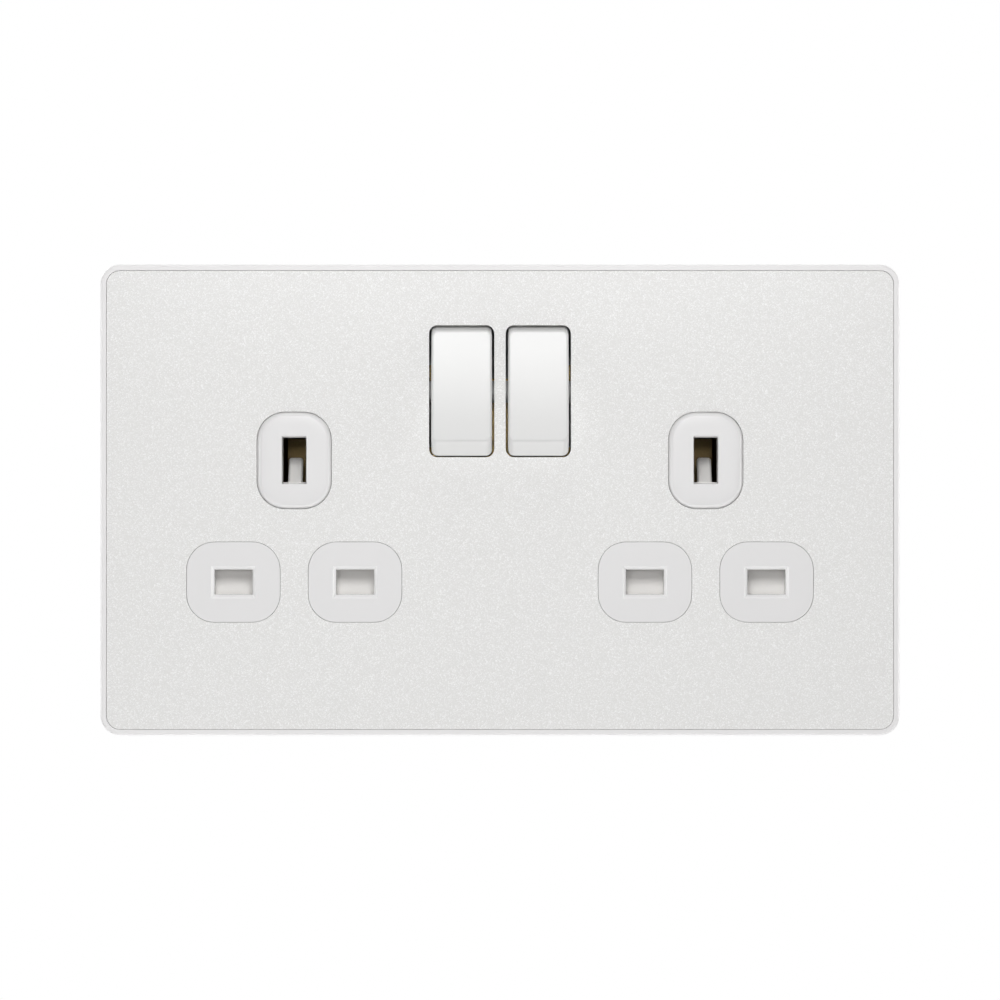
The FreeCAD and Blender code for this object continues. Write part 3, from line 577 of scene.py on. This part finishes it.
@dataclass(frozen=True)
class Edges:
    """How the edges of a moulding are eased: a small radius all over and larger ones in places."""

    radius: float
    segments: int = 2
    special: tuple[tuple[float, Callable[[Vector], bool]], ...] = ()
    special_segments: int = 4


def cut_rooms(piece: bpy.types.Object, rooms: Sequence[tuple[Vector, Vector]]) -> None:
    """Cuts boxes out of a closed piece.

    Args:
        piece: the object.
        rooms: lowest and highest corner of each box.
    """
    shape = bmesh.new()
    for low, high in rooms:
        size = Matrix.Diagonal((*(high - low), 1))
        bmesh.ops.create_cube(shape, size=1, matrix=Matrix.Translation((low + high) / 2) @ size)
    mesh = bpy.data.meshes.new("rooms")
    shape.to_mesh(mesh)
    shape.free()
    cutter = link(mesh, "rooms")
    cut = piece.modifiers.new("rooms", "BOOLEAN")
    cut.operation = "DIFFERENCE"
    cut.solver = "EXACT"
    cut.object = cutter
    settle(piece)
    bpy.data.objects.remove(cutter)
    bpy.data.meshes.remove(mesh)


def merge_flats(shape: bmesh.types.BMesh, keep_backs: bool) -> None:
    """Joins triangles that lie in one plane.

    Args:
        shape: the mesh.
        keep_backs: leaves the faces that look along +Y as they are, which have many holes.
    """

    def looks_back(face: bmesh.types.BMFace) -> bool:
        """Whether a face looks along +Y and is to be left alone."""
        return keep_backs and face.normal.y > BACK_FACING

    shape.normal_update()
    verts = [v for v in shape.verts if not any(map(looks_back, v.link_faces))]
    edges = [e for e in shape.edges if not any(map(looks_back, e.link_faces))]
    bmesh.ops.dissolve_limit(shape, angle_limit=FLAT_ANGLE, verts=verts, edges=edges)


def eased_copy(
    node: str,
    edges: Edges,
    reshape: Callable[[bmesh.types.BMesh], None] | None = None,
    rooms: Sequence[tuple[Vector, Vector]] = (),
) -> bpy.types.Object:
    """A copy of a CAD node with its sharp edges rounded, which then stands for the node.

    Args:
        node: the CAD node.
        edges: radii of its edges.
        reshape: what else is done to the copy, before its edges are rounded.
        rooms: boxes cut out of the copy.

    Returns:
        The copy, riding on the node's body.
    """
    source = frame["nodes"][node]
    shape = bmesh.new()
    shape.from_mesh(source.data)
    bmesh.ops.remove_doubles(shape, verts=shape.verts, dist=WELD)
    piece = link(bpy.data.meshes.new(f"{node}_eased"), f"{node}_eased")
    if rooms:
        shape.to_mesh(piece.data)
        cut_rooms(piece, rooms)
        shape.clear()
        shape.from_mesh(piece.data)
        bmesh.ops.remove_doubles(shape, verts=shape.verts, dist=WELD)
    merge_flats(shape, keep_backs=bool(rooms))
    if reshape:
        reshape(shape)
    mesh = piece.data
    shape.to_mesh(mesh)
    shape.free()
    for place, (radius, inside) in enumerate(edges.special):
        group = piece.vertex_groups.new(name=f"rim_{place}")
        group.add([v.index for v in mesh.vertices if inside(v.co)], 1.0, "REPLACE")
        add_bevel(piece, radius, edges.special_segments, group.name)
    add_bevel(piece, edges.radius, edges.segments)
    for polygon in mesh.polygons:
        polygon.use_smooth = True
    weighted = piece.modifiers.new("normals", "WEIGHTED_NORMAL")
    weighted.weight = NORMAL_WEIGHT
    weighted.keep_sharp = True
    settle(piece)
    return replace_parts(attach(piece, source["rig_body"]), node)


def add_bevel(
    piece: bpy.types.Object, radius: float, segments: int, group: str | None = None
) -> None:
    """Adds a Bevel modifier on sharp edges.

    Args:
        piece: the object.
        radius: width of the bevel.
        segments: its segments.
        group: a vertex group that limits it.
    """
    bevel = piece.modifiers.new("edges", "BEVEL")
    bevel.width = radius
    bevel.segments = segments
    bevel.limit_method = "VGROUP" if group else "ANGLE"
    bevel.angle_limit = SMOOTH_ANGLE
    bevel.use_clamp_overlap = False
    if group:
        bevel.vertex_group = group


class Tree:
    """Builds a Geometry Nodes tree and runs it on a new piece."""

    def __init__(self, name: str) -> None:
        """Makes an empty tree with a geometry output."""
        self.group = bpy.data.node_groups.new(name, "GeometryNodeTree")
        interface = self.group.interface
        interface.new_socket("Geometry", in_out="OUTPUT", socket_type="NodeSocketGeometry")
        self.inputs = self.group.nodes.new("NodeGroupInput")
        self.output = self.group.nodes.new("NodeGroupOutput")
        self.values: dict[str, float] = {}

    def size(self, name: str, value: float) -> bpy.types.NodeSocket:
        """Adds a named input.

        Args:
            name: its name.
            value: the value that this piece gives it.

        Returns:
            The socket to link from.
        """
        made = self.group.interface.new_socket(name, in_out="INPUT", socket_type="NodeSocketFloat")
        self.values[made.identifier] = value
        return self.inputs.outputs[name]

    def node(
        self,
        kind: str,
        settings: dict[str, object] | None = None,
        values: dict[object, object] | None = None,
    ) -> bpy.types.Node:
        """Adds a node with its settings and inputs.

        Args:
            kind: the node's type name.
            settings: attributes of the node.
            values: numbers or sockets by input name or index.

        Returns:
            The node.
        """
        made = self.group.nodes.new(kind)
        for name, value in (settings or {}).items():
            setattr(made, name, value)
        for name, value in (values or {}).items():
            if isinstance(value, bpy.types.NodeSocket):
                self.group.links.new(value, made.inputs[name])
            else:
                made.inputs[name].default_value = value
        return made

    def run(
        self, name: str, geometry: bpy.types.NodeSocket, material: bpy.types.Material
    ) -> bpy.types.Object:
        """Ends the tree, runs it and keeps the result as a plain mesh.

        Args:
            name: name of the piece.
            geometry: what the tree makes.
            material: its material.

        Returns:
            The piece.
        """
        real = self.node("GeometryNodeRealizeInstances", None, {0: geometry})
        values = {0: real.outputs[0], "Material": material}
        done = self.node("GeometryNodeSetMaterial", None, values)
        self.group.links.new(done.outputs[0], self.output.inputs[0])
        piece = link(bpy.data.meshes.new(name), name)
        modifier = piece.modifiers.new("nodes", "NODES")
        modifier.node_group = self.group
        for identifier, value in self.values.items():
            modifier[identifier] = value
        return settle(piece)


@dataclass(frozen=True)
class Coil:
    """A compression spring of round wire."""

    radius: float
    length: float
    turns: float
    wire: float = 0.36 * MM
    steps_per_turn: int = 24
    wire_sides: int = 10

    def wind(self, name: str, place: Matrix, material: bpy.types.Material) -> bpy.types.Object:
        """Makes the spring along +Z and moves it to its place.

        Args:
            name: name of the piece.
            place: where its seated end goes.
            material: its material.

        Returns:
            The spring.
        """
        tree = Tree(f"{name}_tree")
        mean = tree.size("Mean Radius", self.radius - self.wire / 2)
        height = tree.size("Height", self.length - self.wire)
        wire = tree.size("Wire Radius", self.wire / 2)
        turns = tree.size("Turns", self.turns)
        spiral = tree.node(
            "GeometryNodeCurveSpiral",
            None,
            {
                "Resolution": self.steps_per_turn,
                "Rotations": turns,
                "Start Radius": mean,
                "End Radius": mean,
                "Height": height,
            },
        )
        section = tree.node(
            "GeometryNodeCurvePrimitiveCircle",
            {"mode": "RADIUS"},
            {"Resolution": self.wire_sides, "Radius": wire},
        )
        tube = tree.node(
            "GeometryNodeCurveToMesh",
            None,
            {0: spiral.outputs[0], 1: section.outputs[0], "Fill Caps": True},
        )
        smooth = tree.node("GeometryNodeSetShadeSmooth", None, {0: tube.outputs[0]})
        piece = tree.run(name, smooth.outputs[0], material)
        piece.data.transform(place @ Matrix.Translation((0, 0, self.wire / 2)))
        return piece

    def fit(
        self, paint: Paint, node: str, body: str, place: Matrix, joint: str, throw: float
    ) -> None:
        """Winds the spring where the CAD one is.

        Args:
            paint: the materials.
            node: the CAD spring, which this one stands for.
            body: the body that carries it.
            place: where its seated end goes, with +Z along the spring.
            joint: not used.
            throw: not used.
        """
        spring = self.wind(node.replace("_spring", "_coil"), place, paint.of(SPRING_SLOT))
        paint.coat(spring, SPRING_SLOT)
        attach(spring, body)
        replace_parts(spring, node)
        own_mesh(spring)


@dataclass(frozen=True)
class RockerEnds:
    """Full ends of the rockers, and the room behind the panel that they swing in.

    A rocker's own axes are its depth, forward of the pivot, and its height, up its face.
    """

    pivot_y: float = -3.0 * MM
    rise: float = 19.87 * MM
    tilt: float = math.radians(8)
    front: float = 6.75 * MM
    front_half: float = 10.2 * MM
    root: float = -0.8 * MM
    root_half: float = 11.93 * MM
    shoulder: float = 3.606 * MM
    shoulder_half: float = 12.423 * MM
    neck: float = 0.6 * MM
    flat_half_width: float = 4.36 * MM
    corner: float = 1.22 * MM
    end_band: float = 0.5 * MM
    window_half: float = 12.05 * MM
    window_near: float = 1.04 * MM
    window_far: float = 12.96 * MM
    window_overlap: float = 0.5 * MM
    well_relief: float = 0.95 * MM
    well_span: tuple[float, float] = (-6.9 * MM, -3.0 * MM)
    panel_relief: float = 0.55 * MM
    panel_span: tuple[float, float] = (-7.6 * MM, -6.2 * MM)

    def end_half(self, depth: float) -> float:
        """Half height of the CAD rocker's straight end faces.

        Args:
            depth: how far forward of the pivot.

        Returns:
            The half height there.
        """
        share = (self.front - depth) / (self.front - self.root)
        return self.front_half + share * (self.root_half - self.front_half)

    def fullness(self, depth: float) -> float:
        """How much of the added height an end has.

        Args:
            depth: how far forward of the pivot.

        Returns:
            1 at the shoulder, falling to 0 at the face and at the neck behind it.
        """
        edge = self.front if depth > self.shoulder else self.neck
        return max(0.0, min(1.0, (depth - edge) / (self.shoulder - edge)))

    def fill(self, shape: bmesh.types.BMesh, middle: float) -> None:
        """Swells both ends of a rocker at its shoulder.

        Args:
            shape: the rocker at rest.
            middle: x of its middle.
        """
        sine, cosine = math.sin(self.tilt), math.cos(self.tilt)
        forward, up = Vector((0, -cosine, sine)), Vector((0, sine, cosine))
        pivot = Vector((0, self.pivot_y, self.rise))
        for depth in (self.shoulder, self.neck):
            everything = [*shape.verts, *shape.edges, *shape.faces]
            bmesh.ops.bisect_plane(
                shape, geom=everything, plane_co=pivot + forward * depth, plane_no=forward
            )
        most = self.shoulder_half - self.end_half(self.shoulder)
        for vertex in shape.verts:
            place = vertex.co - pivot
            depth, height = place.dot(forward), place.dot(up)
            inward = self.end_half(depth) - abs(height)
            rounded = abs(vertex.co.x - middle) > self.flat_half_width and inward < self.corner
            if inward < self.end_band or rounded:
                vertex.co += up * math.copysign(most * self.fullness(depth), height)

    def rooms(self, relief: float, span: tuple[float, float]) -> list[tuple[Vector, Vector]]:
        """Room cut at both ends of the two openings that the rockers stand in.

        Args:
            relief: how far the room reaches past the opening.
            span: y of its front and back.

        Returns:
            Lowest and highest corner of each box.
        """
        found = []
        outer, inner = self.window_half + relief, self.window_half - self.window_overlap
        windows = ((-self.window_far, -self.window_near), (self.window_near, self.window_far))
        for near, far in windows:
            for low, high in ((-outer, -inner), (inner, outer)):
                corner = Vector((near, span[0], self.rise + low))
                found.append((corner, Vector((far, span[1], self.rise + high))))
        return found

    def well_rooms(self) -> list[tuple[Vector, Vector]]:
        """Rooms in the front moulding's wells."""
        return self.rooms(self.well_relief, self.well_span)

    def panel_rooms(self) -> list[tuple[Vector, Vector]]:
        """Rooms behind the panel's thin lip."""
        return self.rooms(self.panel_relief, self.panel_span)


ENDS = RockerEnds()


@dataclass
class Plate:
    """Clip-on plate: the tray with its rim, and the pearl panel laid in it."""

    paint: Paint
    tray_edges: Edges = Edges(0.07 * MM, 3)
    panel_edges: Edges = Edges(0.03 * MM)

    def build(self) -> None:
        """Rounds the tray's and panel's edges and dresses them."""
        tray = eased_copy("cover_tray", self.tray_edges)
        self.paint.coat(tray, "tray_plastic")
        panel = eased_copy("face_panel", self.panel_edges, rooms=ENDS.panel_rooms())
        self.paint.coat(panel, "pearl_panel")
        log.info("plate: tray and panel")


@dataclass
class Module:
    """Front and rear mouldings, strap and the screws that join them."""

    paint: Paint
    pad: PadRim = PadRim()
    pad_front: float = -7.2 * MM
    rim_slack: float = 0.1 * MM
    rim_band: float = 3.2 * MM
    rim_radius: float = 0.1 * MM
    front_radius: float = 0.07 * MM
    rear_edges: Edges = Edges(0.15 * MM)
    strap_edges: Edges = Edges(0.08 * MM)
    screw_edges: Edges = Edges(0.1 * MM)

    def on_earth_rim(self, point: Vector) -> bool:
        """Whether a vertex is on the bevelled rim of an earth pad.

        Args:
            point: the vertex.

        Returns:
            True on the rim.
        """
        if point.y > self.pad_front:
            return False
        past_x = abs(abs(point.x) - self.pad.offset) - self.pad.half_width
        past_z = abs(point.z - self.pad.rise) - self.pad.half_height
        return -self.rim_band < max(past_x, past_z) <= self.rim_slack

    def build(self) -> None:
        """Rounds and dresses the mouldings, the strap and the screws."""
        edges = Edges(self.front_radius, special=((self.rim_radius, self.on_earth_rim),))
        front = eased_copy("front_moulding", edges, rooms=ENDS.well_rooms())
        self.paint.coat(front, "white_moulding")
        rear = eased_copy("rear_moulding", self.rear_edges)
        self.paint.coat(rear, "rear_moulding")
        strap = eased_copy("mounting_strap", self.strap_edges)
        self.paint.coat(strap, "plated_steel")
        screws = eased_copy("module_screws", self.screw_edges)
        self.paint.coat(screws, "zinc_screw")
        log.info("module: front, rear, strap and screws")


@dataclass
class Switch:
    """One rocker with its plunger, springs and contacts."""

    paint: Paint
    side: str
    offset: float = 7.0 * MM
    rocker_edges: Edges = Edges(0.15 * MM, 3)
    spring: Coil = Coil(1.4 * MM, 3.6 * MM, 4)
    spring_seat: float = -7.3 * MM
    spring_throw: float = 1.5 * MM

    def add_spring(self, middle: float) -> None:
        """Winds the plunger's spring in the rocker's stem.

        Args:
            middle: x of the rocker's middle.
        """
        pivot = Matrix.Translation((middle, ENDS.pivot_y, ENDS.rise))
        tilt = Matrix.Rotation(-ENDS.tilt, 4, "X")
        seat = Matrix.Translation((0, self.spring_seat - ENDS.pivot_y, 0))
        place = pivot @ tilt @ seat @ Matrix.Rotation(-math.pi / 2, 4, "X")
        node, joint = f"{self.side}_plunger_spring", f"{self.side}_plunger_slide"
        body = Body.ROCKER.of(self.side)
        self.spring.fit(self.paint, node, body, place, joint, self.spring_throw)

    def build(self) -> None:
        """Rounds and dresses the rocker and the pieces behind it."""
        middle = self.offset * SIDES[self.side]
        rocker = eased_copy(
            f"{self.side}_rocker", self.rocker_edges, lambda shape: ENDS.fill(shape, middle)
        )
        self.paint.coat(rocker, "rocker_gloss")
        self.add_spring(middle)
        slots = {
            "plunger": "plunger_plastic",
            "moving_contact": "copper_strip",
            "moving_tip": "silver_tip",
            "fixed_tip": "silver_tip",
            "line_contact": "brass",
        }
        for piece, slot in slots.items():
            self.paint.coat(frame["nodes"][f"{self.side}_{piece}"], slot)
        log.info("%s switch", self.side)


@dataclass
class Outlet:
    """One outlet's shutter, its spring and the clips behind the slots."""

    paint: Paint
    side: str
    shutter_edges: Edges = Edges(0.15 * MM)
    spring_radius: float = 1.05 * MM
    spring_turns: float = 5
    spring_throw: float = 4.57 * MM

    def add_spring(self) -> None:
        """Winds the shutter's spring on its shelf, as high as the CAD one."""
        node = f"{self.side}_shutter_spring"
        low, high = (Vector(corner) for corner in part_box(node))
        middle = (low + high) / 2
        foot = Matrix.Translation((middle.x, middle.y, low.z))
        spring = Coil(self.spring_radius, high.z - low.z, self.spring_turns)
        joint = f"{self.side}_shutter_slide"
        spring.fit(self.paint, node, Body.HOUSING.of(), foot, joint, self.spring_throw)

    def build(self) -> None:
        """Dresses the shutter and clips."""
        shutter = eased_copy(f"{self.side}_shutter", self.shutter_edges)
        self.paint.coat(shutter, "shutter_plastic")
        self.add_spring()
        for piece in ("neutral_clip", "earth_clip"):
            self.paint.coat(frame["nodes"][f"{self.side}_{piece}"], "clip_brass")
        log.info("%s outlet", self.side)


@dataclass
class Terminals:
    """Bars, blocks and clamping screws."""

    paint: Paint
    block_edges: Edges = Edges(0.12 * MM)
    screw_edges: Edges = Edges(0.1 * MM)

    def build(self) -> None:
        """Dresses the blocks, their screws and the bars."""
        for name in ("line", "neutral", "earth"):
            block = eased_copy(f"{name}_terminal", self.block_edges)
            self.paint.coat(block, "brass_block")
            screws = eased_copy(f"{name}_terminal_screws", self.screw_edges)
            self.paint.coat(screws, "brass_screw")
            self.paint.coat(frame["nodes"][f"{name}_bar"], "brass")
        log.info("terminals and bars")


@dataclass(frozen=True)
class Lamp:
    """A soft lamp that faces the plate: where it stands, how large it is and how bright.

    Its level is how bright a white surface that faces it looks, where 1 is white.
    """

    name: str
    azimuth: float
    elevation: float
    distance: float
    size: tuple[float, float]
    level: float

    def place(self) -> Vector:
        """Where the lamp stands.

        Returns:
            Its middle.
        """
        turn, rise = math.radians(self.azimuth), math.radians(self.elevation)
        flat = math.cos(rise)
        way = Vector((flat * math.sin(turn), -flat * math.cos(turn), math.sin(rise)))
        return self.distance * way

    def hang(self) -> bpy.types.Object:
        """Makes the lamp.

        Returns:
            The lamp, facing the plate.
        """
        data = bpy.data.lights.new(self.name, "AREA")
        data.shape = "RECTANGLE"
        data.size, data.size_y = self.size
        data.energy = self.level * (math.pi * self.distance) ** 2
        lamp = bpy.data.objects.new(self.name, data)
        lamp.location = self.place()
        lamp.rotation_euler = (-self.place()).to_track_quat("-Z", "Y").to_euler()
        lamp.visible_camera = False
        bpy.context.scene.collection.objects.link(lamp)
        return lamp


@dataclass
class Studio:
    """Camera at the photograph's viewing angle, soft lamps, pale floor and white surroundings."""

    distance: float = 1.02
    frame_width: float = 182.7 * MM
    front: float = -8 * MM
    sensor: float = 36.0
    clip_end: float = 20.0
    floor_drop: float = 0.13
    floor_radius: float = 0.42
    floor_sides: int = 96
    floor_greys: tuple[float, float] = (0.80, 0.84)
    floor_patches: float = 3
    shade_reach: tuple[float, float] = (0.15, 0.40)
    glow_share: float = 0.6
    glow_level: float = 0.4
    below_level: float = 0.03
    above_level: float = 0.08
    lamps: tuple[Lamp, ...] = (
        Lamp("key", -1, 27, 0.5, (0.21, 0.16), 0.515),
        Lamp("front", 0, 5.5, 1.2, (0.30, 0.08), 0.06),
        Lamp("low_left", -15, -13, 0.4, (0.05, 0.05), 0.04),
        Lamp("left", -88, 0, 0.7, (0.24, 0.24), 0.24),
        Lamp("right", 87, 0, 0.7, (0.30, 0.30), 0.33),
        Lamp("above", 0, 84, 0.7, (0.40, 0.30), 0.26),
        Lamp("below", 0, -78, 0.6, (0.40, 0.20), 0.43),
        Lamp("rear_left", -150, 25, 0.8, (0.40, 0.30), 0.35),
        Lamp("rear_right", 150, 10, 0.8, (0.40, 0.30), 0.25),
    )

    def camera(self) -> None:
        """Makes the camera, level with the plate's middle and square to it."""
        data = bpy.data.cameras.new("camera")
        data.sensor_width = self.sensor
        data.lens = self.sensor * self.distance / self.frame_width
        data.clip_end = self.clip_end
        camera = bpy.data.objects.new("camera", data)
        camera.location = (0, self.front - self.distance, 0)
        camera.rotation_euler = (math.radians(90), 0, 0)
        bpy.context.scene.collection.objects.link(camera)
        bpy.context.scene.camera = camera

    def world(self) -> None:
        """Makes the surroundings: white to the camera, with a level above and one below."""
        world = bpy.data.worlds.new("studio")
        bpy.context.scene.world = world
        world.use_nodes = True
        graph = Graph(world.node_tree)
        direction = graph.node("ShaderNodeTexCoord", out="Generated")
        height = graph.node("ShaderNodeSeparateXYZ", None, {0: direction}, "Z")
        rise = height * 0.5 + 0.5
        level = self.below_level + (self.above_level - self.below_level) * rise
        seen = graph.seen_directly()
        strength = level * (1 - seen) + seen
        white = {"Color": (1, 1, 1, 1), "Strength": strength}
        background = graph.node("ShaderNodeBackground", None, white)
        graph.node("ShaderNodeOutputWorld", None, {"Surface": background})

    def floor(self) -> None:
        """Lays a pale round floor below the plate, with its shadow near and white at the edge."""
        disc = bmesh.new()
        bmesh.ops.create_circle(
            disc,
            cap_ends=True,
            segments=self.floor_sides,
            radius=self.floor_radius,
            matrix=Matrix.Translation((0, 0, -self.floor_drop)),
        )
        mesh = bpy.data.meshes.new("floor")
        disc.to_mesh(mesh)
        disc.free()
        material = bpy.data.materials.new("floor")
        material.use_nodes = True
        graph = Graph(material.node_tree)
        low, high = self.floor_greys
        colour = graph.mix(graph.noise(self.floor_patches), (low,) * 3, (high,) * 3)
        diffuse = graph.node("ShaderNodeBsdfDiffuse", None, {"Color": colour})
        seen = graph.seen_directly()
        strength = seen + self.glow_level * (1 - seen)
        white = {"Color": (1, 1, 1, 1), "Strength": strength}
        glow = graph.node("ShaderNodeEmission", None, white)
        where = graph.node("ShaderNodeTexCoord", out="Object")
        length = graph.node("ShaderNodeVectorMath", {"operation": "LENGTH"}, {0: where}, "Value")
        near, far = self.shade_reach
        ramp = {"Value": length, "From Min": near, "From Max": far}
        reach = graph.node("ShaderNodeMapRange", {"interpolation_type": "SMOOTHSTEP"}, ramp)
        share = self.glow_share + (1 - self.glow_share) * reach * seen
        blend = graph.node("ShaderNodeMixShader", None, {0: share, 1: diffuse, 2: glow})
        graph.node("ShaderNodeOutputMaterial", None, {"Surface": blend})
        mesh.materials.append(material)
        floor = link(mesh, "floor")
        floor.visible_shadow = False

    def build(self) -> None:
        """Sets the whole studio up."""
        self.camera()
        self.world()
        self.floor()
        for lamp in self.lamps:
            lamp.hang()
        bpy.context.scene.view_settings.view_transform = "Standard"
        log.info("studio: camera, surroundings, floor and %d lamps", len(self.lamps))


def main() -> None:
    """Builds every piece and the studio."""
    logging.basicConfig(level=logging.INFO)
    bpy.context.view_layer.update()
    paint = Paint()
    Plate(paint).build()
    Module(paint).build()
    for side in SIDES:
        Switch(paint, side).build()
        Outlet(paint, side).build()
    Terminals(paint).build()
    Studio().build()


if __name__ == "__main__":
    main()
